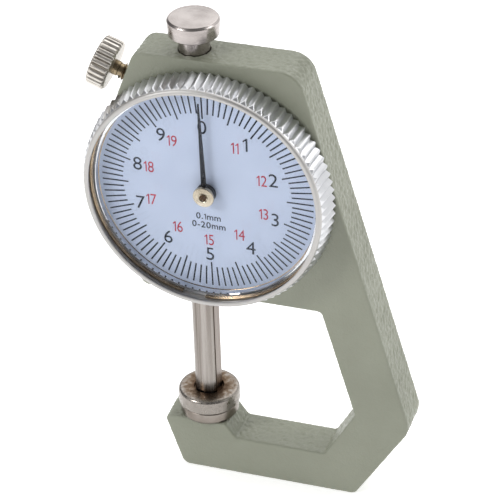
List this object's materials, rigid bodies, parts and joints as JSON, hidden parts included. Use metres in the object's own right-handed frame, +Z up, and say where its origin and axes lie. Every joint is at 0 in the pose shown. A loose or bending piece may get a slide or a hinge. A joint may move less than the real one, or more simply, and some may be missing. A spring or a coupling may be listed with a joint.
{
  "type": "dial thickness gauge",
  "caption": "Pocket dial thickness gauge: cast C-frame, sprung rack plunger with a flat contact over a fixed anvil, geared pointer, turning dial bezel, lift knob and lock screw.",
  "frame": {"origin": "on the foot's flat face, under the plunger's axis, in the middle of the frame's thickness", "axes": "+Z up along the plunger, +X towards the column, -Y out of the dial"},
  "size_m": [0.057, 0.015, 0.0899],
  "materials": {
    "frame_paint": "wrinkle paint",
    "measuring_steel": "ground",
    "rod_steel": "ground",
    "knob_steel": "turned",
    "spring_steel": "drawn wire",
    "bush_brass": "turned",
    "movement_brass": "satin",
    "bezel_alloy": "turned and polished",
    "dial_enamel": "satin enamel",
    "pointer_black": "satin black",
    "hub_nickel": "nickel plate",
    "crystal_clear": "clear",
    "snap_wire": "oxidised wire",
    "lock_nickel": "nickel plate"
  },
  "bodies": {
    "frame": {"frame": "frame_paint", "anvil": "measuring_steel", "lower_bush": "bush_brass", "upper_bush": "bush_brass", "back_bushes": "bush_brass", "bridge_plate": "movement_brass", "bridge_screws": "spring_steel", "spring_post": "spring_steel", "hairspring_stud": "movement_brass", "bezel_wire": "spring_steel", "return_spring": "spring_steel"},
    "plunger": {"plunger_rod": "rod_steel", "contact_tip": "measuring_steel", "lift_knob": "knob_steel", "spring_pin": "spring_steel"},
    "pinion": {"pinion_arbor": "rod_steel", "pointer": "pointer_black", "pointer_hub": "hub_nickel"},
    "take_up": {"take_up_wheel": "movement_brass", "take_up_arbor": "rod_steel", "hairspring": "spring_steel"},
    "bezel": {"bezel": "bezel_alloy", "dial_plate": "dial_enamel", "spacer_ring": "bezel_alloy", "crystal": "crystal_clear", "snap_ring": "snap_wire"},
    "lock_pad": {"lock_pad": "movement_brass"},
    "lock_screw": {"lock_screw": "lock_nickel"}
  },
  "joints": [
    {"name": "plunger_lift", "type": "slide", "parent": "frame", "child": "plunger", "axis": [0, 0, 1], "range_m": [0, 0.02], "stiffness_N_per_m": 40, "springref_m": -0.02, "deforming": ["return_spring"]},
    {"name": "pointer_turn", "type": "hinge", "parent": "frame", "child": "pinion", "pos_m": [0.00341, 0, 0.06049], "axis": [0, 1, 0], "range_deg": [0, 720.01]},
    {"name": "take_up_turn", "type": "hinge", "parent": "frame", "child": "take_up", "pos_m": [0.00876, 0, 0.05514], "axis": [0, 1, 0], "range_deg": [-192.01, 0], "deforming": ["hairspring"]},
    {"name": "bezel_turn", "type": "hinge", "parent": "frame", "child": "bezel", "pos_m": [0.00341, 0, 0.06049], "axis": [0, 1, 0], "continuous": true},
    {"name": "lock_advance", "type": "slide", "parent": "frame", "child": "lock_pad", "axis": [0.932, 0, -0.3624], "range_m": [-0.0005, 0.00025]},
    {"name": "lock_turn", "type": "hinge", "parent": "lock_pad", "child": "lock_screw", "pos_m": [0, 0, 0.07285], "axis": [0.932, 0, -0.3624], "range_deg": [-360.1, 180.1]}
  ],
  "couplings": [
    {"joint": "pointer_turn", "follows": "plunger_lift", "rad_per_m": 628.32},
    {"joint": "take_up_turn", "follows": "plunger_lift", "rad_per_m": -167.55},
    {"joint": "lock_turn", "follows": "lock_advance", "rad_per_m": 12566}
  ]
}
